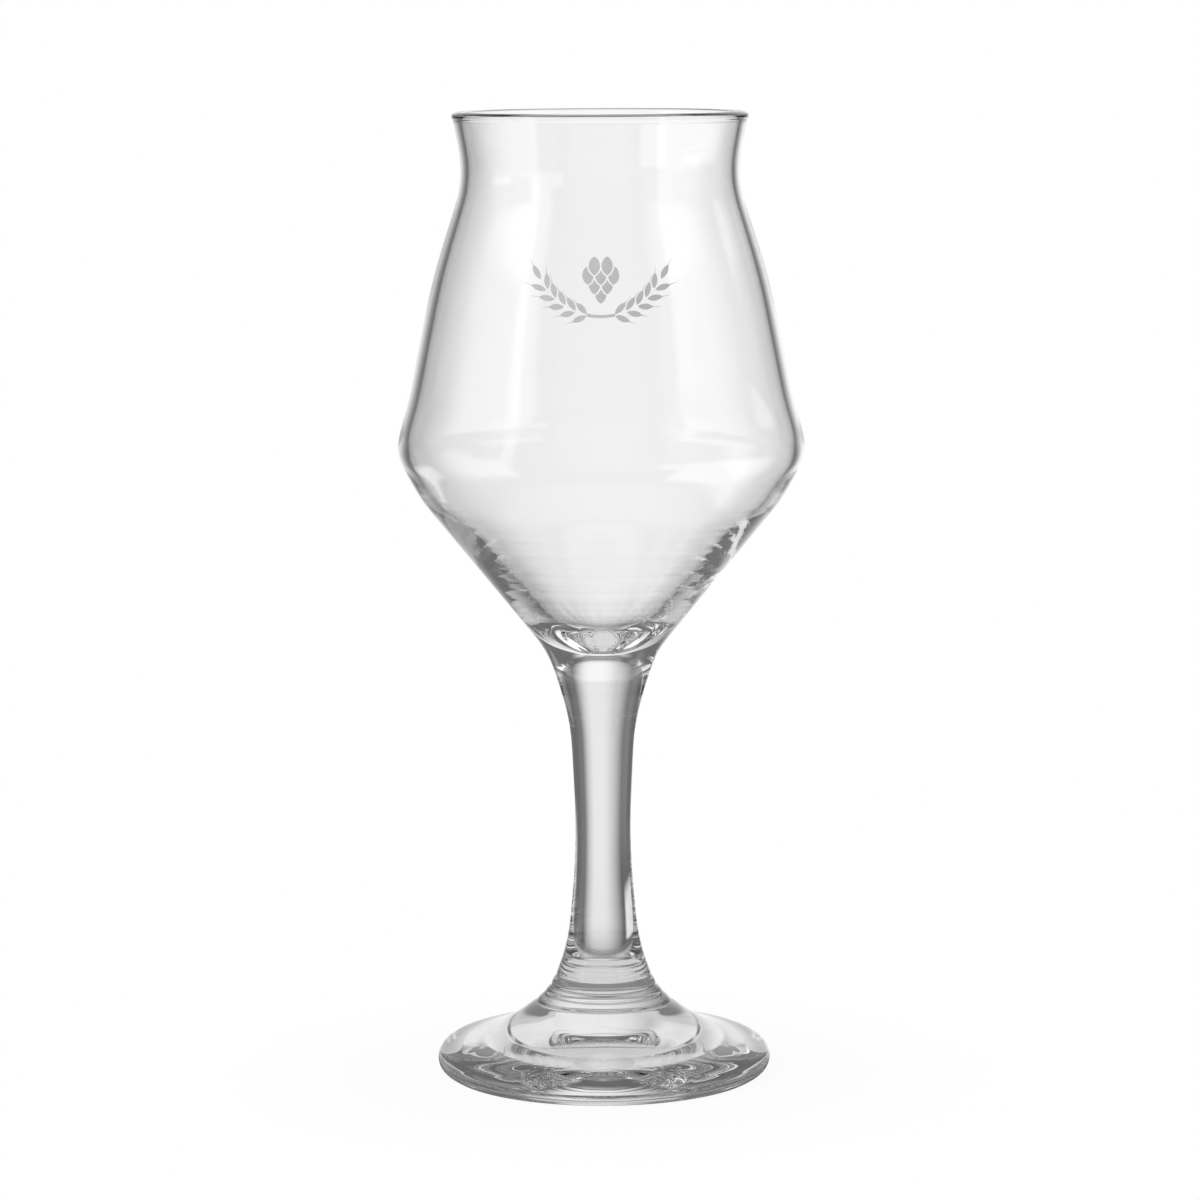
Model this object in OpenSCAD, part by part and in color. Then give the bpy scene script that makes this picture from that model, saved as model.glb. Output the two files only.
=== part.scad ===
// Tulip beer glass: a blown bowl, a drawn stem and a pressed foot, fused hot end to end,
// with a fired enamel ornament on the front of the bowl.
// Millimetres, +Z up. The origin is where the glass's axis meets the table.
// An outline is a list of corners, each given as radius, height and the blend that rounds it off.

/* [Heights] */
// Height of the foot, from the table to its joint with the stem
foot_h = 18; // [15:0.5:24]
// Length of the stem between its two joints
stem_l = 69; // [45:1:95]
// Height of the bowl, from its joint with the stem to the rim
bowl_h = 120; // [112:1:140]

/* [Bowl outside] */
// Diameter of the joint between bowl and stem
neck_d = 20; // [17:0.5:22]
// Diameter over the rim
rim_d = 63; // [58:0.5:68]
// Diameter at the corner of the waist
waist_d = 57.6; // [50:0.2:60]
// Depth of the waist below the rim
waist_drop = 13.8; // [11:0.2:18]
// Diameter at the middle of the upper body
body_d = 71.4; // [66:0.2:76]
// Depth of the middle of the upper body below the rim
body_drop = 35.2; // [30:0.2:42]
// Diameter at the foot of the upper body, just above the belly
shoulder_d = 81.4; // [78:0.2:84]
// Height of the upper body's foot above the belly
shoulder_rise = 11.6; // [9:0.2:16]
// Diameter at the corner of the belly
belly_d = 88; // [84:0.2:94]
// Height of the belly above the bowl's joint
belly_h = 48.2; // [45:0.2:54]
// Diameter at the top of the lower cone
cone_d = 77.4; // [72:0.2:80]
// Depth of the lower cone's top below the belly
cone_drop = 10; // [8:0.2:14]
// Diameter at the root of the lower cone
root_d = 24; // [22:0.2:28]
// Height of the lower cone's root above the bowl's joint
root_h = 5.4; // [4:0.2:8]

/* [Bowl wall] */
// Thickness of the wall at the rim
rim_wall = 1.9; // [1.4:0.1:2.6]
// Thickness of the wall at the waist
waist_wall = 1.6; // [1.2:0.1:2.4]
// Thickness of the wall in the upper body and the belly
body_wall = 2; // [1.4:0.1:3]
// Thickness of the wall, level, at the top of the lower cone
cone_wall = 2.6; // [2:0.1:4]
// Diameter of the shallow dish at the bottom of the inside
dish_d = 25; // [20:0.5:30]
// Height of the dish's edge above the bowl's joint
dish_h = 14.5; // [12:0.5:18]
// Thickness of the glass under the lowest point of the dish
floor_t = 7.2; // [5:0.2:9]
// Diameter of the level middle of the dish
floor_d = 4; // [3:0.2:8]

/* [Stem] */
// Diameter at the narrowest part
stem_d = 11.2; // [9:0.2:14]
// Height of the narrowest part above the stem's lower joint
stem_waist_h = 32; // [26:1:38]
// Diameter where the stem starts to widen to the bowl
stem_top_d = 13.8; // [12:0.2:16]
// Depth of that place below the upper joint
stem_top_drop = 10.2; // [7:0.2:12]
// Diameter where the stem starts to widen to the foot
stem_low_d = 15.4; // [14:0.2:18]
// Height of that place above the lower joint
stem_low_h = 10; // [7:0.2:12]

/* [Foot] */
// Diameter of the joint between stem and foot
ankle_d = 23.6; // [21:0.2:27]
// Diameter over the foot
foot_d = 72.6; // [64:0.2:84]
// Height of the upper corner of the foot's edge
edge_h = 7.2; // [6:0.2:8]
// Diameter at the bend of the foot's upper side
instep_d = 46; // [40:0.2:50]
// Height of that bend
instep_h = 9.4; // [8.6:0.1:12]
// Inside diameter of the flat ring that the glass rests on
rest_d = 58; // [52:0.5:60]
// Height of the hollow under the foot, at the axis
punt_h = 5.4; // [5.2:0.1:6.4]
// Diameter of the crown of that hollow
crown_d = 18; // [14:0.5:24]
// Height of the crown's edge
crown_h = 4.9; // [4:0.1:5.1]
// Diameter inside the step that the mould left round the hollow
step_d = 34; // [30:0.5:38]
// Height of the hollow just inside that step
step_h = 2.2; // [1.8:0.1:2.8]
// Depth of the step
step_drop = 0.5; // [0.2:0.1:0.8]
// Width of the step
step_w = 0.8; // [0.4:0.1:1.2]
// Diameter where the hollow starts to level out
skirt_d = 48; // [44:0.5:50]
// Height of that place
skirt_h = 0.5; // [0.3:0.1:0.8]

/* [Ornament] */
// Height of the ornament's lowest stalk above the bowl's joint
wreath_h = 79; // [72:0.5:84]
// Radius of the curve that both barley ears follow
wreath_r = 14; // [11:0.5:17]
// Pairs of grains on one ear
grain_pairs = 5; // [3:1:7]
// Length of one grain
grain_l = 3.2; // [2.4:0.1:4]
// Width of one grain
grain_w = 1.2; // [0.9:0.1:1.8]
// Length of the awn beyond its grain
awn_l = 1.8; // [1:0.1:4]
// Width of the stalk
stalk_w = 0.6; // [0.4:0.1:1]
// Height of the hop cone's tip above the lowest stalk
hop_h = 2.6; // [1.5:0.1:4]
// Length of one bract of the hop cone
bract_l = 3.8; // [3:0.1:4.4]
// Width of one bract
bract_w = 2.3; // [1.8:0.1:2.6]
// Thickness of the enamel
enamel_t = 0.15; // [0.1:0.05:0.4]

/* [Hidden] */

glass_colour = [0.88, 0.9, 0.9, 0.45];
enamel_colour = [0.74, 0.73, 0.73];

// Angle of each step along a rounded corner, and sides of a full turn
arc_angle = 5;
turn_sides = 96;
$fn = turn_sides;
// Share of a side's direction that a corner has to turn by before it counts as one
straight_share = 0.002;
// Share of a side that one rounded corner may use when both its ends are rounded
blend_share = 0.499;

// Radii that round the corners of the outlines
rim_blend = 0.85;
waist_blend = 22;
body_blend = 120;
shoulder_blend = 12;
belly_blend = 6;
cone_blend = 24;
root_blend = 20;
dish_blend = 3;
floor_blend = 4;
neck_blend = 30;
stem_blend = 60;
stem_waist_blend = 300;
ankle_blend = 12;
instep_blend = 26;
edge_blend = 6;
heel_blend = 4.5;
crown_blend = 12;
step_blend = 0.8;
skirt_blend = 4;

// Levels of the two joints and the rim
lower_joint_z = foot_h;
upper_joint_z = lower_joint_z + stem_l;
rim_z = upper_joint_z + bowl_h;
belly_z = upper_joint_z + belly_h;

// Ornament: angles from straight down along the wreath's curve, and the lean of its grains
stalk_start_angle = -7;
ear_start_angle = 12;
ear_end_angle = 62;
grain_lean_angle = 34;
grain_gap = grain_w / 6;
awn_w = grain_w / 5;
awn_root_share = 0.6;
// Hop cone: bracts in each row from the top, the gap left round each, and the step down to the next row
hop_rows = [2, 3, 2, 1];
bract_gap = bract_w / 7;
row_step = bract_l / 2;

// Outside of the whole glass, from the table to the rim
outer_corners = [
    [rest_d / 2, 0, 0],
    [foot_d / 2, 0, heel_blend],
    [foot_d / 2, edge_h, edge_blend],
    [instep_d / 2, instep_h, instep_blend],
    [ankle_d / 2, lower_joint_z, ankle_blend],
    [stem_low_d / 2, lower_joint_z + stem_low_h, stem_blend],
    [stem_d / 2, lower_joint_z + stem_waist_h, stem_waist_blend],
    [stem_top_d / 2, upper_joint_z - stem_top_drop, stem_blend],
    [neck_d / 2, upper_joint_z, neck_blend],
    [root_d / 2, upper_joint_z + root_h, root_blend],
    [cone_d / 2, belly_z - cone_drop, cone_blend],
    [belly_d / 2, belly_z, belly_blend],
    [shoulder_d / 2, belly_z + shoulder_rise, shoulder_blend],
    [body_d / 2, rim_z - body_drop, body_blend],
    [waist_d / 2, rim_z - waist_drop, waist_blend],
    [rim_d / 2, rim_z, rim_blend],
    [rim_d / 2 - rim_wall, rim_z, rim_blend]
];

// Inside of the bowl, from the waist down to the axis
inner_corners = [
    [waist_d / 2 - waist_wall, rim_z - waist_drop, waist_blend],
    [body_d / 2 - body_wall, rim_z - body_drop, body_blend],
    [shoulder_d / 2 - body_wall, belly_z + shoulder_rise, shoulder_blend],
    [belly_d / 2 - body_wall, belly_z, belly_blend],
    [cone_d / 2 - cone_wall, belly_z - cone_drop, cone_blend],
    [dish_d / 2, upper_joint_z + dish_h, dish_blend],
    [floor_d / 2, upper_joint_z + floor_t, floor_blend],
    [0, upper_joint_z + floor_t, 0]
];

// Hollow under the foot, from the axis to the ring that rests on the table
punt_corners = [
    [0, punt_h, 0],
    [crown_d / 2, crown_h, crown_blend],
    [step_d / 2, step_h, step_blend],
    [step_d / 2 + step_w, step_h - step_drop, step_blend],
    [skirt_d / 2, skirt_h, skirt_blend],
    [rest_d / 2, 0, 0]
];

function unit(v) = v / norm(v);
function place(corner) = [corner[0], corner[1]];
function blend(corner) = corner[2];
function angle_of(v) = atan2(v[1], v[0]);

// Length that corner i may use of its side towards corner j
function room(list, i, j) =
    norm(place(list[j]) - place(list[i])) * (blend(list[j]) == 0 ? 2 * blend_share : blend_share);

// Smaller turn, signed, from one angle to another
function turn_between(from, to) =
    let (turn = to - from)
    turn > 180 ? turn - 360 : turn < -180 ? turn + 360 : turn;

// Points on the arc that rounds corner i of a list, or the corner itself where the outline runs straight
function corner_arc(list, i) =
    let (
        at = place(list[i]),
        back = unit(place(list[i - 1]) - at),
        ahead = unit(place(list[i + 1]) - at),
        half = acos(back * ahead) / 2,
        run = min(blend(list[i]) / tan(half), room(list, i, i - 1), room(list, i, i + 1)),
        radius = run * tan(half)
    )
    norm(back + ahead) < straight_share ? [at] : arc_points(
        at + unit(back + ahead) * radius / sin(half), at + back * run, at + ahead * run
    );

// Points along the arc about a centre, from one point to another
function arc_points(centre, from, to) =
    let (
        radius = norm(from - centre),
        start = angle_of(from - centre),
        turn = turn_between(start, angle_of(to - centre)),
        steps = max(2, ceil(abs(turn) / arc_angle))
    )
    [for (k = [0:steps]) centre + radius * [cos(start + turn * k / steps), sin(start + turn * k / steps)]];

// All points of an outline, with its first and last corner sharp
function rounded(list) = [
    place(list[0]),
    for (i = [1:len(list) - 2]) each corner_arc(list, i),
    place(list[len(list) - 1])
];

outline = rounded(concat(outer_corners, inner_corners));
outer_outline = rounded(outer_corners);
punt_outline = rounded(punt_corners);

// Half section of the whole glass, with the bowl's inside and the foot's hollow left open
module glass_section() {
    polygon(concat(punt_outline, outline));
}

// The stretch of the glass between two levels, turned about its axis
module glass_between(low, high) {
    rotate_extrude()
        intersection() {
            glass_section();
            translate([0, low]) square([foot_d + belly_d, high - low]);
        }
}

// A leaf shape with two pointed ends, along +X from its root
module leaf(length, width) {
    bow = (length * length + width * width) / (4 * width);
    intersection() {
        translate([length / 2, bow - width / 2]) circle(r = bow);
        translate([length / 2, width / 2 - bow]) circle(r = bow);
    }
}

// One grain with its awn, along +X from its root
module grain() {
    leaf(grain_l, grain_w);
    polygon([
        [grain_l * awn_root_share, -awn_w / 2],
        [grain_l + awn_l, 0],
        [grain_l * awn_root_share, awn_w / 2]
    ]);
}

// Moves a shape to an angle on the wreath's curve, turned to run along it
module on_wreath(angle) {
    translate([wreath_r * sin(angle), wreath_r * (1 - cos(angle))]) rotate(angle) children();
}

// One barley ear: a curved stalk, grains in pairs and one grain at the tip
module barley_ear() {
    step = (ear_end_angle - ear_start_angle) / grain_pairs;
    intersection() {
        difference() {
            translate([0, wreath_r]) circle(r = wreath_r + stalk_w / 2);
            translate([0, wreath_r]) circle(r = wreath_r - stalk_w / 2);
        }
        polygon([
            [0, wreath_r],
            2 * wreath_r * [sin(stalk_start_angle), -cos(stalk_start_angle)] + [0, wreath_r],
            2 * wreath_r * [sin(ear_start_angle), -cos(ear_start_angle)] + [0, wreath_r]
        ]);
    }
    for (i = [0:grain_pairs - 1])
        on_wreath(ear_start_angle + i * step)
            for (side = [-1, 1])
                translate([0, side * grain_gap]) rotate(side * grain_lean_angle) grain();
    on_wreath(ear_end_angle) grain();
}

// The bracts of one row of the hop cone, each grown all round by a margin
module bract_row(row, margin) {
    count = hop_rows[row];
    tip_y = hop_h + (len(hop_rows) - 1 - row) * row_step;
    for (i = [0:count - 1])
        translate([(i - (count - 1) / 2) * (bract_w + bract_gap), tip_y - margin])
            rotate(90) leaf(bract_l + 2 * margin, bract_w + 2 * margin);
}

// Hop cone: rows of bracts, each row tucked under the one above with a gap
module hop_cone() {
    bract_row(0, 0);
    for (row = [1:len(hop_rows) - 1])
        difference() {
            bract_row(row, 0);
            bract_row(row - 1, bract_gap);
        }
}

// Both ears, crossed at the foot of the wreath, with the hop cone between them
module wreath() {
    barley_ear();
    mirror([1, 0]) barley_ear();
    hop_cone();
}

// Layer one enamel thickness deep over the whole outside of the glass
module enamel_skin() {
    last = len(outer_outline) - 1;
    rotate_extrude()
        polygon(concat(
            outer_outline,
            [for (i = [last:-1:0]) outer_outline[i] + [enamel_t, 0]]
        ));
}

module bowl() {
    color(glass_colour) glass_between(upper_joint_z, rim_z);
}

module stem() {
    color(glass_colour) glass_between(lower_joint_z, upper_joint_z);
}

module foot() {
    color(glass_colour) glass_between(0, lower_joint_z);
}

module enamel_print() {
    color(enamel_colour)
        intersection() {
            translate([0, 0, upper_joint_z + wreath_h])
                rotate([90, 0, 0]) linear_extrude(belly_d) wreath();
            enamel_skin();
        }
}

bowl();
stem();
foot();
enamel_print();
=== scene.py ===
"""Looks of a tulip beer glass: clear fused glass with a grey enamel wreath, on a white studio table."""

import math

import bpy
from mathutils import Matrix, Vector


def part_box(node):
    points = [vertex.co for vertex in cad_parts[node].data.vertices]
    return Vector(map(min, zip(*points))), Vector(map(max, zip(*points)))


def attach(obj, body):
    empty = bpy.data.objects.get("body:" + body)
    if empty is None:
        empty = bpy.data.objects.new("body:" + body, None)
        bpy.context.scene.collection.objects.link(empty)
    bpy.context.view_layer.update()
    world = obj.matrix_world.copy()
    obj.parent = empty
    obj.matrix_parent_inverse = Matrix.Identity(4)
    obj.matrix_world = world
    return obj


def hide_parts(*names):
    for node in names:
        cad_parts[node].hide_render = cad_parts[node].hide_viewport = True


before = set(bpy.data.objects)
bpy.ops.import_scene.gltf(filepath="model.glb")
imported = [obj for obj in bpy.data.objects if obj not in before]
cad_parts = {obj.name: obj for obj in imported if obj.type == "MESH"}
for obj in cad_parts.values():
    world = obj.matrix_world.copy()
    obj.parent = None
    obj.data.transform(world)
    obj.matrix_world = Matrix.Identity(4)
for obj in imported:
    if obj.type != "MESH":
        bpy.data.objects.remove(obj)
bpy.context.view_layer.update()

# Lengths are written in millimetres and become metres where a mesh, a pattern or a lamp is made
MM = 0.001
# A length that counts as none
TINY = 1e-6

# Levels of the glass, from the CAD model: the two fused joints and the rim
LOWER_JOINT_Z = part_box("stem")[0][2] / MM
UPPER_JOINT_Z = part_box("bowl")[0][2] / MM
JOINT_LEVELS = (LOWER_JOINT_Z, UPPER_JOINT_Z)
RIM_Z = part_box("bowl")[1][2] / MM

# Corners of the outlines: radius, height above a level, and the radius that rounds the corner.
# Above the table: the hollow under the foot, then the foot's edge and top
PUNT = [(0, 5.4, 0), (9, 4.9, 12), (17, 2.2, 0.8), (17.8, 1.7, 0.8), (24, 0.5, 4), (29, 0, 0)]
FOOT_SIDE = [(36.3, 0, 4.5), (36.3, 7.2, 6), (23, 9.4, 26)]
# Above the lower joint
STEM_SIDE = [(11.8, 0, 12), (7.7, 10, 60), (5.6, 32, 300), (6.9, 58.8, 60)]
# Above the upper joint: the bowl's lower half outside, the same inside, and the dish at its floor
BOWL_SIDE = [(10, 0, 30), (12, 5.4, 20), (38.7, 38.2, 24), (44, 48.2, 6), (40.7, 59.8, 12)]
BOWL_INSIDE = [(38.7, 59.8, 12), (42, 48.2, 6), (36.1, 38.2, 24)]
DISH = [(12.2, 13.2, 1.2), (3.5, 7.2, 6), (0, 7.2, 0)]
# Above or below the rim: the bowl's upper half outside, the bead, and the upper half inside
BOWL_TOP = [(35.7, -35.2, 120), (28.8, -13.8, 22)]
RIM_BEAD = [(31.1, -1.7, 0.4), (31.4, -1.4, 0.4), (31.4, -0.6, 0.3), (29.6, 0.3, 0.8), (29.3, -2.1, 1)]
BOWL_INSIDE_TOP = [(27.2, -13.8, 22), (33.7, -35.2, 120)]

# Rings that the hot seam left round the ankle: height above the lower joint, and depth
SEAM_RINGS = [(3.5, 0.2), (1.3, 0.3), (-0.4, 0.14), (-2.2, 0.24)]
SEAM_RING_W = 0.5
# Widths from the middle of a ring at which it has run out
SEAM_RING_REACH = 4

# Flutes that the mould left in the dish: count round it, and height
DISH_FLUTES = [(9, 0.05), (14, 0.04), (23, 0.03)]
DISH_R = 12.5
# The dish's points lie no lower than this below its floor; the power makes the flutes run out at its edge
DISH_MARGIN = 0.5
FLUTE_FADE_POWER = 4

# Sides of a full turn, the step that an outline is drawn with, and the steps and turns that it keeps
TURN_SIDES = 192
DRAWN_STEP = 0.12
KEPT_STEP = 0.7
KEPT_TURN = math.radians(1.6)
# Share of a side that the arcs at its ends may take up
SIDE_SHARE = 0.998
# Reach of the smoothing along an outline, and the stretch at the rim that keeps its shape
SMOOTH_REACH = 5
RIM_KEPT = 3
# Distance of the two rings that keep the glass smooth across a joint
JOINT_GUARD = 0.03
# Points at a joint that every outline keeps: the joint's own and its guard
JOINT_POINTS = 2


def raised(corners, level):
    """Corners moved up to a level of the glass."""
    return [(radius, level + height, blend) for radius, height, blend in corners]


def side_length(a, b):
    """Distance of two points of an outline."""
    return math.hypot(b[0] - a[0], b[1] - a[1])


def corner_arc(before, at, after):
    """Points of the arc that rounds one corner; it leaves half of a side to a neighbour that is rounded."""
    back = [(before[k] - at[k]) / side_length(before, at) for k in (0, 1)]
    ahead = [(after[k] - at[k]) / side_length(after, at) for k in (0, 1)]
    half = math.acos(max(-1, min(1, back[0] * ahead[0] + back[1] * ahead[1]))) / 2
    room = [side_length(at, end) * (1 if end[2] == 0 else 0.5) * SIDE_SHARE for end in (before, after)]
    run = min(at[2] / math.tan(half), *room)
    radius = run * math.tan(half)
    middle = math.hypot(back[0] + ahead[0], back[1] + ahead[1])
    centre = [at[k] + (back[k] + ahead[k]) / middle * radius / math.sin(half) for k in (0, 1)]
    start = math.atan2(at[1] + back[1] * run - centre[1], at[0] + back[0] * run - centre[0])
    end = math.atan2(at[1] + ahead[1] * run - centre[1], at[0] + ahead[0] * run - centre[0])
    turn = (end - start + math.pi) % math.tau - math.pi
    steps = max(2, math.ceil(abs(turn) * radius / DRAWN_STEP))
    angles = [start + turn * k / steps for k in range(steps + 1)]
    return [(centre[0] + radius * math.cos(a), centre[1] + radius * math.sin(a)) for a in angles]


def rounded(corners):
    """Points of an outline with its inner corners rounded and its straight stretches in short steps."""
    points = [corners[0][:2]]
    for before, at, after in zip(corners, corners[1:], corners[2:]):
        points += corner_arc(before, at, after)
    points.append(corners[-1][:2])
    fine = [points[0]]
    for a, b in zip(points, points[1:]):
        steps = max(1, math.ceil(side_length(a, b) / DRAWN_STEP))
        for k in range(1, steps + 1):
            fine.append((a[0] + (b[0] - a[0]) * k / steps, a[1] + (b[1] - a[1]) * k / steps))
    return fine


def smoothed(points):
    """The outline made smooth, as a flame leaves it; its two ends and the rim keep their shape."""
    run = [0]
    for a, b in zip(points, points[1:]):
        run.append(run[-1] + side_length(a, b))
    rim_run = run[max(range(len(points)), key=lambda i: points[i][1])]
    fine = []
    first = 0
    for here, point in zip(run, points):
        free = min(here, run[-1] - here, max(0, abs(here - rim_run) - RIM_KEPT))
        reach = min(SMOOTH_REACH, free)
        while run[first] < here - SMOOTH_REACH:
            first += 1
        total, radius, height = 0, 0, 0
        for i in range(first, len(points)):
            if run[i] > here + reach:
                break
            weight = max(0, reach - abs(run[i] - here))
            total += weight
            radius += weight * points[i][0]
            height += weight * points[i][1]
        fine.append((radius / total, height / total) if total > TINY else point)
    return fine


def ringed(points):
    """The outline with the shallow seam rings pressed into the ankle."""
    fine = []
    for radius, height in points:
        for rise, depth in SEAM_RINGS:
            away = (height - LOWER_JOINT_Z - rise) / SEAM_RING_W
            if abs(away) < SEAM_RING_REACH and radius < FOOT_SIDE[-1][0]:
                radius -= depth * math.exp(-away * away)
        fine.append((radius, height))
    return fine


def thinned(points):
    """The outline with only the points that its curves need."""
    kept = [points[0]]
    last_way = None
    turned_by = 0
    for a, b in zip(points, points[1:]):
        way = math.atan2(b[1] - a[1], b[0] - a[0])
        if last_way is not None:
            turned_by += abs((way - last_way + math.pi) % math.tau - math.pi)
        last_way = way
        if turned_by > KEPT_TURN or side_length(kept[-1], b) > KEPT_STEP:
            if a != kept[-1]:
                kept.append(a)
            turned_by = 0
    return kept + [points[-1]]


def cut_at(points, level):
    """The outline with a point added where it first crosses a level."""
    for i, (a, b) in enumerate(zip(points, points[1:])):
        if a[1] < level < b[1]:
            share = (level - a[1]) / (b[1] - a[1])
            return points[: i + 1] + [(a[0] + (b[0] - a[0]) * share, level)] + points[i + 1 :]
    return points


# One outline runs from the resting ring up the outside, over the rim and down to the floor of the dish
outer_corners = (
    PUNT[-1:]
    + FOOT_SIDE
    + raised(STEM_SIDE, LOWER_JOINT_Z)
    + raised(BOWL_SIDE, UPPER_JOINT_Z)
    + raised(BOWL_TOP + RIM_BEAD + BOWL_INSIDE_TOP, RIM_Z)
    + raised(BOWL_INSIDE + DISH, UPPER_JOINT_Z)
)
drawn = ringed(smoothed(rounded(outer_corners)))
for joint_z in JOINT_LEVELS:
    for guard in (-JOINT_GUARD, 0, JOINT_GUARD):
        drawn = cut_at(drawn, joint_z + guard)
lower_cut = next(i for i, point in enumerate(drawn) if point[1] == LOWER_JOINT_Z)
upper_cut = next(i for i, point in enumerate(drawn) if point[1] == UPPER_JOINT_Z)


def stretch(first, last):
    """A stretch of the drawn outline, thinned but with the points at its joints kept."""
    low = first + (JOINT_POINTS if first > 0 else 0)
    high = last + 1 - (JOINT_POINTS if last < len(drawn) - 1 else 0)
    return drawn[first:low] + thinned(drawn[low:high]) + drawn[high : last + 1]


# The three pieces are cut from it at the joints, and each is closed on the axis
foot_outline = thinned(rounded(PUNT)) + stretch(0, lower_cut)[1:] + [(0, LOWER_JOINT_Z)]
stem_outline = [(0, LOWER_JOINT_Z)] + stretch(lower_cut, upper_cut) + [(0, UPPER_JOINT_Z)]
bowl_outline = [(0, UPPER_JOINT_Z)] + stretch(upper_cut, len(drawn) - 1)


def flute_rise(radius, height, angle):
    """Height that the mould's flutes add to a point of the dish, none at its middle and its edge."""
    if radius > DISH_R or height < UPPER_JOINT_Z + DISH[-1][1] - DISH_MARGIN:
        return 0
    out = radius / DISH_R
    share = out * math.cos(math.pi / 2 * out**FLUTE_FADE_POWER)
    return share * sum(rise * math.cos(count * angle + count) for count, rise in DISH_FLUTES)


def turned(outline):
    """Points and faces of a closed solid turned from an outline that starts and ends on the axis."""
    verts, rings = [], []
    for radius, height in outline:
        sides = TURN_SIDES if radius > TINY else 1
        rings.append(range(len(verts), len(verts) + sides))
        for k in range(sides):
            angle = math.tau * k / TURN_SIDES
            level = height + flute_rise(radius, height, angle)
            verts.append((radius * math.cos(angle) * MM, radius * math.sin(angle) * MM, level * MM))
    faces = []
    for low, high in zip(rings, rings[1:]):
        for k in range(TURN_SIDES):
            n = (k + 1) % TURN_SIDES
            if len(low) == 1:
                faces.append((low[0], high[n], high[k]))
            elif len(high) == 1:
                faces.append((low[k], low[n], high[0]))
            else:
                faces.append((low[k], low[n], high[n], high[k]))
    return verts, faces


def placed(name, data):
    """A new object in the scene."""
    made = bpy.data.objects.new(name, data)
    bpy.context.scene.collection.objects.link(made)
    return made


def glass_piece(name, outline, glass, joint):
    """A turned piece of glass; its flat joint faces take the joint's material and have sharp edges."""
    mesh = bpy.data.meshes.new(name)
    verts, faces = turned(outline)
    mesh.from_pydata(verts, [], faces)
    mesh.materials.append(glass)
    mesh.materials.append(joint)
    kinds_at_edge = {}
    for polygon in mesh.polygons:
        step = polygon.index // TURN_SIDES
        level = outline[step][1]
        at_joint = level == outline[step + 1][1] and level in JOINT_LEVELS
        polygon.use_smooth = not at_joint
        polygon.material_index = 1 if at_joint else 0
        for key in polygon.edge_keys:
            kinds_at_edge.setdefault(key, set()).add(at_joint)
    for edge in mesh.edges:
        edge.use_edge_sharp = len(kinds_at_edge[edge.key]) == 2
    mesh.validate()
    return placed(name, mesh)


def linear(hex_colour):
    """Linear RGBA of an sRGB hex colour."""
    channels = [int(hex_colour[k : k + 2], 16) / 255 for k in (1, 3, 5)]
    return [c / 12.92 if c <= 0.04045 else ((c + 0.055) / 1.055) ** 2.4 for c in channels] + [1]


def add(tree, kind, inputs=None, **settings):
    """Adds one node with its settings; an input is a value, or another node's socket to link from."""
    made = tree.nodes.new(kind)
    for name, value in settings.items():
        setattr(made, name, value)
    for key, value in (inputs or {}).items():
        if isinstance(value, bpy.types.NodeSocket):
            tree.links.new(value, made.inputs[key])
        else:
            made.inputs[key].default_value = value
    return made


def new_material(name):
    """A material with an empty node tree."""
    material = bpy.data.materials.new(name)
    material.use_nodes = True
    material.node_tree.nodes.clear()
    return material, material.node_tree


# Share of the waves in the glass that is left at the level where they are faint
FAINT_SHARE = 0.05


def fire_polished_glass(name, tint, waves, full_z, faint_z):
    """Soda-lime glass, fire-polished: clear and mirror smooth, with the faint waves that its making left.

    The tint is what each surface lets through. A wave has its size along X, Y and Z and its height; the
    waves are full at one level of the glass and nearly gone at another.
    """
    material, tree = new_material(name)
    place = add(tree, "ShaderNodeTexCoord").outputs["Object"]
    level = add(tree, "ShaderNodeSeparateXYZ", {0: place}).outputs[2]
    fade = {"Value": level, "From Min": faint_z * MM, "From Max": full_z * MM, "To Min": FAINT_SHARE}
    share = add(tree, "ShaderNodeMapRange", fade).outputs[0]
    normal = add(tree, "ShaderNodeNewGeometry").outputs["Normal"]
    for size, height in waves:
        per_wave = [1 / (length * MM) for length in size]
        scaled = add(tree, "ShaderNodeVectorMath", {0: place, 1: per_wave}, operation="MULTIPLY")
        pattern = {"Vector": scaled.outputs[0], "Scale": 1.0, "Detail": 1.0}
        noise = add(tree, "ShaderNodeTexNoise", pattern).outputs[0]
        rise = add(tree, "ShaderNodeMath", {0: noise, 1: share}, operation="MULTIPLY").outputs[0]
        wavy = {"Height": rise, "Distance": height * MM, "Strength": 1.0, "Normal": normal}
        normal = add(tree, "ShaderNodeBump", wavy).outputs[0]
    clear = {
        "Base Color": linear(tint),
        "Roughness": 0.0,
        "IOR": 1.52,
        "Transmission Weight": 1.0,
        "Normal": normal,
    }
    glass = add(tree, "ShaderNodeBsdfPrincipled", clear)
    add(tree, "ShaderNodeOutputMaterial", {"Surface": glass.outputs[0]})
    return material


def fused_joint():
    """Hot-fused faces: the glass runs on through them, so they show nothing."""
    material, tree = new_material("fused_joint_in_glass")
    clear = add(tree, "ShaderNodeBsdfTransparent")
    add(tree, "ShaderNodeOutputMaterial", {"Surface": clear.outputs[0]})
    return material


# Grain of the enamel, drawn coarser than a screen's thread so that it shows, and its depth
GRAIN_SIZE = 0.35
GRAIN_DEPTH = 0.012
# Size of the patches where the enamel was laid on thicker
CLOUD_SIZE = 6


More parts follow.
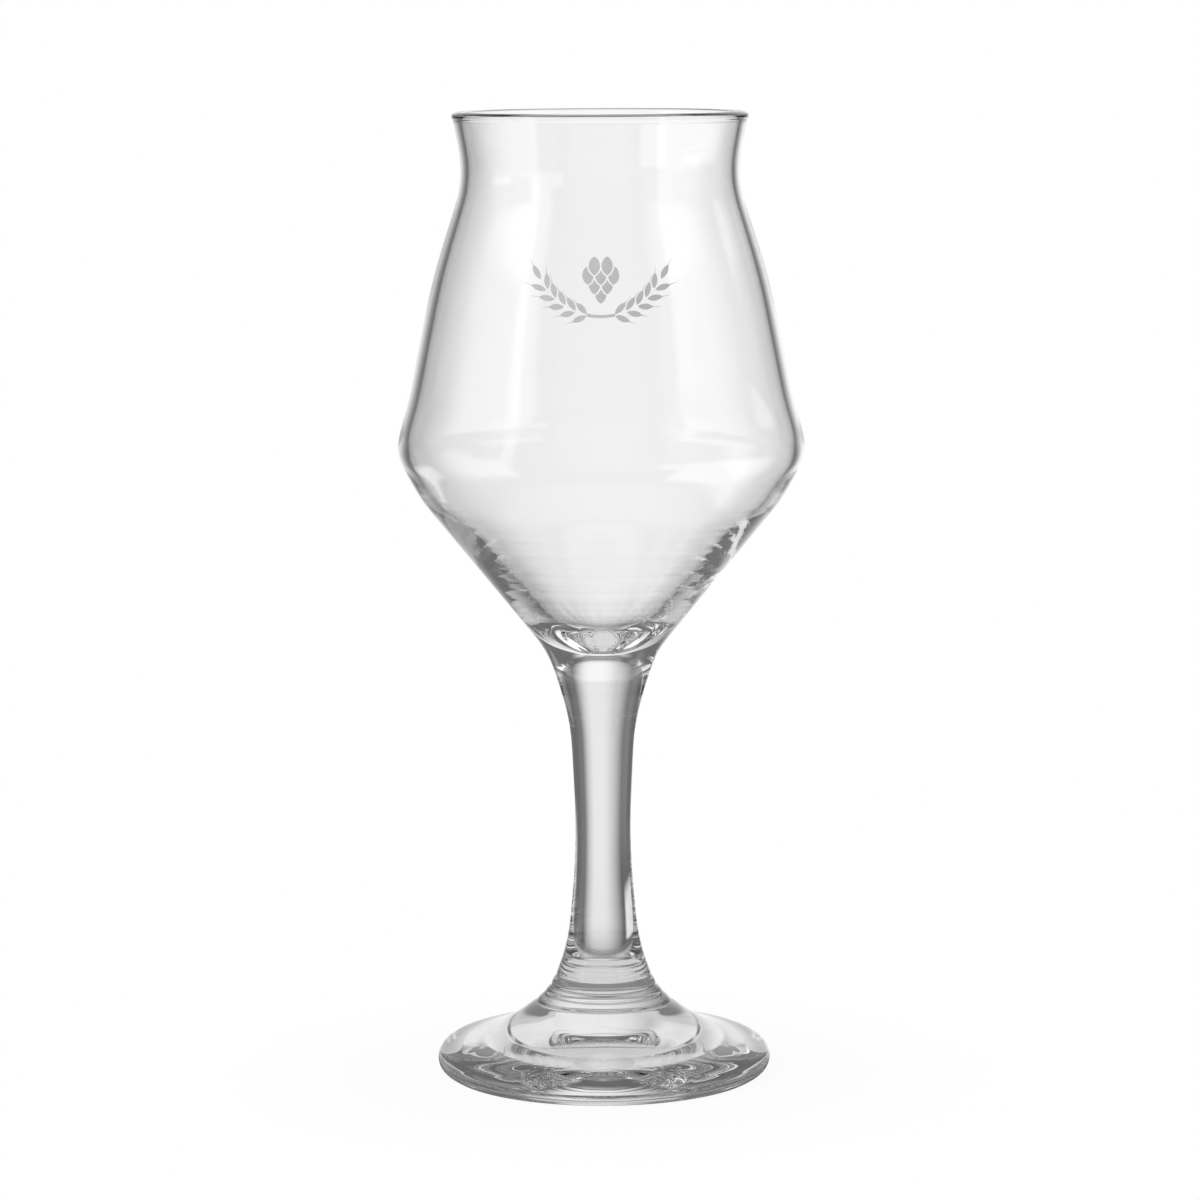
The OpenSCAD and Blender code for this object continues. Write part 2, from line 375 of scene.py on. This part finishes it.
def fired_enamel():
    """Screen-printed glass enamel, fired: pale grey and satin, with an uneven grain from the screen."""
    material, tree = new_material("fired_screen_printed_enamel")
    place = add(tree, "ShaderNodeTexCoord").outputs["Object"]
    screen = {"Vector": place, "Scale": 1 / (GRAIN_SIZE * MM), "Detail": 3.0}
    grain = add(tree, "ShaderNodeTexNoise", screen).outputs[0]
    patches = {"Vector": place, "Scale": 1 / (CLOUD_SIZE * MM), "Detail": 1.0}
    clouds = add(tree, "ShaderNodeTexNoise", patches).outputs[0]
    both = add(tree, "ShaderNodeMath", {0: grain, 1: clouds}, operation="ADD").outputs[0]
    laid_on = {"Value": both, "From Min": 0.7, "From Max": 1.3}
    thickness = add(tree, "ShaderNodeMapRange", laid_on).outputs[0]
    # A colour mix has its factor at input 0, its two colours at 6 and 7, and its result at output 2
    tones = {0: thickness, 6: linear("#b6b4b5"), 7: linear("#c2c0c1")}
    colour = add(tree, "ShaderNodeMix", tones, data_type="RGBA").outputs[2]
    gloss = add(tree, "ShaderNodeMapRange", {"Value": grain, "To Min": 0.38, "To Max": 0.55}).outputs[0]
    rough = {"Height": grain, "Distance": GRAIN_DEPTH * MM, "Strength": 0.6}
    bumps = add(tree, "ShaderNodeBump", rough).outputs[0]
    satin = {"Base Color": colour, "Roughness": gloss, "IOR": 1.5, "Normal": bumps}
    enamel = add(tree, "ShaderNodeBsdfPrincipled", satin)
    add(tree, "ShaderNodeOutputMaterial", {"Surface": enamel.outputs[0]})
    return material


# Waves in the glass: size along X, Y and Z, and height
BLOWN_WAVES = [((70, 70, 1.6), 0.022), ((60, 60, 4), 0.03)]
DRAWN_WAVES = [((2.5, 2.5, 60), 0.006)]
PRESSED_WAVES = [((9, 9, 9), 0.03), ((3.2, 3.2, 3.2), 0.006)]
# The thick glass of foot and stem takes a little of the light, the thin bowl none that shows
THICK_TINT = "#efefef"
THIN_TINT = "#ffffff"

joint = fused_joint()
pressed = fire_polished_glass("soda_lime_glass_pressed", THICK_TINT, PRESSED_WAVES, full_z=0, faint_z=60)
pulled = fire_polished_glass("soda_lime_glass_drawn", THICK_TINT, DRAWN_WAVES, full_z=0, faint_z=500)
blown = fire_polished_glass("soda_lime_glass_blown", THIN_TINT, BLOWN_WAVES, full_z=112, faint_z=140)
for name, outline, glass, slot in (
    ("foot", foot_outline, pressed, "pressed_glass"),
    ("stem", stem_outline, pulled, "drawn_glass"),
    ("bowl", bowl_outline, blown, "blown_glass"),
):
    piece = glass_piece(name + "_glass", outline, glass, joint)
    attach(piece, "root")
    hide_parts(name)

enamel = fired_enamel()
for material_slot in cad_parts["enamel_print"].material_slots:
    material_slot.material = enamel

# Studio: panels of light round the glass, each with its angles round, its angles up and its brightness.
# Angles run round from straight behind the glass, left negative, and up from the horizon, in degrees.
# Between its four angles a panel fades in, is full, and fades out; past 180 or 90 it goes on all round.
PANELS = {
    "backdrop": ((-40, 2, 11, 36), (-64, -12, 30, 55), 1.0),
    "left_low": ((-130, -122, -104, -56), (-48, -30, -6, 4), 1.3),
    "left_middle": ((-131, -126, -122, -118), (-16, -6, 20, 30), 1.0),
    "left_high": ((-130, -122, -76, -44), (18, 26, 30, 38), 1.3),
    "right_low": ((50, 82, 128, 140), (-52, -45, -14, -2), 1.35),
    "right_middle": ((114, 120, 138, 146), (-8, -2, 20, 30), 0.4),
    "right_high": ((80, 100, 132, 150), (18, 26, 32, 42), 0.9),
    "left_window": ((-106, -98, -82, -74), (-9, -4, 4, 8), 0.95),
    "left_table": ((-66, -56, -38, -30), (-33, -29, -19, -16), 1.0),
    "right_table": ((120, 127, 143, 150), (-26, -22, -11, -7), 1.0),
    "front_left": ((-182, -181, -160, -140), (-34, -20, 60, 80), 0.3),
    "front_right": ((140, 160, 181, 182), (-34, -20, 60, 80), 0.3),
    "overhead": ((-182, -181, 181, 182), (58, 72, 91, 92), 0.3),
    "under": ((-182, -181, 181, 182), (-92, -91, -60, -44), 0.45),
}
ROOM_BRIGHTNESS = 0.15


def studio_world():
    """White to the camera; to the glass, a dim room with panels of light."""
    world = bpy.data.worlds.new("studio")
    bpy.context.scene.world = world
    world.use_nodes = True
    tree = world.node_tree
    tree.nodes.clear()
    direction = add(tree, "ShaderNodeTexCoord").outputs["Generated"]
    axes = add(tree, "ShaderNodeSeparateXYZ", {0: direction}).outputs
    turn = add(tree, "ShaderNodeMath", {0: axes[0], 1: axes[1]}, operation="ARCTAN2").outputs[0]
    rise = add(tree, "ShaderNodeMath", {0: axes[2]}, operation="ARCSINE").outputs[0]
    level = ROOM_BRIGHTNESS
    for turns, rises, brightness in PANELS.values():
        light = brightness
        for angle, (start, full, last, end) in ((turn, turns), (rise, rises)):
            for dark, bright in ((start, full), (end, last)):
                edge = {"Value": angle, "From Min": math.radians(dark), "From Max": math.radians(bright)}
                inside = add(tree, "ShaderNodeMapRange", edge, interpolation_type="SMOOTHSTEP")
                both = {0: light, 1: inside.outputs[0]}
                light = add(tree, "ShaderNodeMath", both, operation="MULTIPLY").outputs[0]
        level = add(tree, "ShaderNodeMath", {0: level, 1: light}, operation="MAXIMUM").outputs[0]
    seen = add(tree, "ShaderNodeLightPath").outputs["Is Camera Ray"]
    strength = add(tree, "ShaderNodeMapRange", {"Value": seen, "To Min": level, "To Max": 1.0})
    shown = {"Color": linear("#ffffff"), "Strength": strength.outputs[0]}
    background = add(tree, "ShaderNodeBackground", shown)
    add(tree, "ShaderNodeOutputWorld", {"Surface": background.outputs[0]})


studio_world()

# Front light: lights only what is matt, so that the enamel renders about as its colour is written
FRONT_LIGHT_W = 9
FRONT_LIGHT_SIZE = 500
FRONT_LIGHT_PLACE = (-350, -900, 650)
FRONT_LIGHT_AIM_Z = 120


def front_light():
    """A soft lamp above the camera's left that the glass doesn't mirror."""
    data = bpy.data.lights.new("front_light", "AREA")
    data.energy = FRONT_LIGHT_W
    data.size = FRONT_LIGHT_SIZE * MM
    lamp = placed("front_light", data)
    lamp.location = [part * MM for part in FRONT_LIGHT_PLACE]
    aim = Vector((0, 0, FRONT_LIGHT_AIM_Z * MM)) - lamp.location
    lamp.rotation_euler = aim.to_track_quat("-Z", "Y").to_euler()
    lamp.visible_camera = False
    lamp.visible_glossy = False
    lamp.visible_transmission = False


front_light()

# Table: a white disc that fades into the white background and keeps a faint shadow of the glass
TABLE_R = 95
TABLE_SIDES = 96
SHADOW_SHARE = 0.05
# Painted light and shade on the table as the glass shows it: a painted bright pool under the foot, a
# painted shadow ring round it, and painted light behind it
PAINTED_LIGHT_UNDER_FOOT = 0.8
PAINTED_SHADOW_ROUND_FOOT = 0.06
PAINTED_LIGHT_BEHIND_FOOT = 0.25
# Distances from the axis at which a change starts and ends: the painted light under the foot gives way, the
# table turns clear to all but the camera, and the shadow runs out
PAINTED_LIGHT_UNDER_FADE = (27, 34)
CLEAR_FADE = (40, 50)
SHADOW_FADE = (0.4 * TABLE_R, 0.95 * TABLE_R)
# Distances behind the axis at which the painted light behind the foot starts and is full
PAINTED_LIGHT_BEHIND_FADE = (5, 36)


def white_table_top():
    """Matt white table top, white to the camera, where only the glass's faint shadow marks it.

    The glass shows it dimmer, with painted light and shade: a painted bright pool under the foot, a painted
    shadow ring round it and painted light behind it; beyond the foot it shows not at all, and the panels
    show instead.
    """
    material, tree = new_material("matt_white_table_top_painted_shade")
    place = add(tree, "ShaderNodeTexCoord").outputs["Object"]
    along = add(tree, "ShaderNodeSeparateXYZ", {0: place}).outputs[1]
    away = add(tree, "ShaderNodeVectorMath", {0: place}, operation="LENGTH").outputs["Value"]
    # Painted light behind the foot, fading to a painted shadow ring round it, as the glass sees the table
    behind = {
        "Value": along,
        "From Min": PAINTED_LIGHT_BEHIND_FADE[0] * MM,
        "From Max": PAINTED_LIGHT_BEHIND_FADE[1] * MM,
        "To Min": PAINTED_SHADOW_ROUND_FOOT,
        "To Max": PAINTED_LIGHT_BEHIND_FOOT,
    }
    painted_round_and_behind = add(tree, "ShaderNodeMapRange", behind, interpolation_type="SMOOTHSTEP").outputs[0]
    # Painted bright pool under the foot, giving way to the painted shade round it
    under = {
        "Value": away,
        "From Min": PAINTED_LIGHT_UNDER_FADE[0] * MM,
        "From Max": PAINTED_LIGHT_UNDER_FADE[1] * MM,
        "To Min": PAINTED_LIGHT_UNDER_FOOT,
        "To Max": painted_round_and_behind,
    }
    painted_glass_view = add(tree, "ShaderNodeMapRange", under, interpolation_type="SMOOTHSTEP").outputs[0]
    # To the camera the table is plain white; the painted light and shade show only to the glass
    seen = add(tree, "ShaderNodeLightPath").outputs["Is Camera Ray"]
    strength = add(tree, "ShaderNodeMapRange", {"Value": seen, "To Min": painted_glass_view, "To Max": 1.0}).outputs[0]
    white = add(tree, "ShaderNodeEmission", {"Color": linear("#ffffff"), "Strength": strength})
    matt = add(tree, "ShaderNodeBsdfDiffuse", {"Color": linear("#f4f4f4")})
    shadow = {
        "Value": away,
        "From Min": SHADOW_FADE[0] * MM,
        "From Max": SHADOW_FADE[1] * MM,
        "To Min": 1 - SHADOW_SHARE,
    }
    share = add(tree, "ShaderNodeMapRange", shadow, interpolation_type="SMOOTHSTEP").outputs[0]
    lit = add(tree, "ShaderNodeMixShader", {0: share, 1: matt.outputs[0], 2: white.outputs[0]})
    beyond = {"Value": away, "From Min": CLEAR_FADE[0] * MM, "From Max": CLEAR_FADE[1] * MM}
    gone = add(tree, "ShaderNodeMapRange", beyond, interpolation_type="SMOOTHSTEP").outputs[0]
    unseen = add(tree, "ShaderNodeMath", {0: 1.0, 1: seen}, operation="SUBTRACT").outputs[0]
    clear = add(tree, "ShaderNodeMath", {0: gone, 1: unseen}, operation="MULTIPLY").outputs[0]
    room = add(tree, "ShaderNodeBsdfTransparent")
    table_look = add(tree, "ShaderNodeMixShader", {0: clear, 1: lit.outputs[0], 2: room.outputs[0]})
    add(tree, "ShaderNodeOutputMaterial", {"Surface": table_look.outputs[0]})
    return material


def studio_table():
    """The table's disc, level with the foot's resting ring."""
    angles = [math.tau * k / TABLE_SIDES for k in range(TABLE_SIDES)]
    verts = [(TABLE_R * MM * math.cos(a), TABLE_R * MM * math.sin(a), 0) for a in angles]
    mesh = bpy.data.meshes.new("table_top")
    mesh.from_pydata(verts, [], [list(range(TABLE_SIDES))])
    mesh.materials.append(white_table_top())
    placed("table_top", mesh)


studio_table()

# Camera: a long lens a little above the rim, tilted down; its place in millimetres, its angles in degrees
CAMERA_BACK = 990
CAMERA_UP = 229
CAMERA_SIDE = -0.45
CAMERA_TILT = 7.257
CAMERA_ROLL = -0.25
LENS = 140
SENSOR = 36


def studio_camera():
    """The camera at the photograph's viewing angle."""
    data = bpy.data.cameras.new("camera")
    data.lens = LENS
    data.sensor_width = SENSOR
    camera = placed("camera", data)
    camera.location = (CAMERA_SIDE * MM, -CAMERA_BACK * MM, CAMERA_UP * MM)
    tilted = Matrix.Rotation(math.radians(90 - CAMERA_TILT), 3, "X")
    rolled = Matrix.Rotation(math.radians(CAMERA_ROLL), 3, "Z")
    camera.rotation_euler = (tilted @ rolled).to_euler()
    bpy.context.scene.camera = camera


studio_camera()

# Light turns many times inside the thick glass; with fewer bounces it would end in black patches
LIGHT_BOUNCES = 32

scene = bpy.context.scene
scene.view_settings.view_transform = "Standard"
scene.cycles.max_bounces = LIGHT_BOUNCES
scene.cycles.transmission_bounces = LIGHT_BOUNCES
scene.cycles.glossy_bounces = LIGHT_BOUNCES
scene.cycles.transparent_max_bounces = LIGHT_BOUNCES
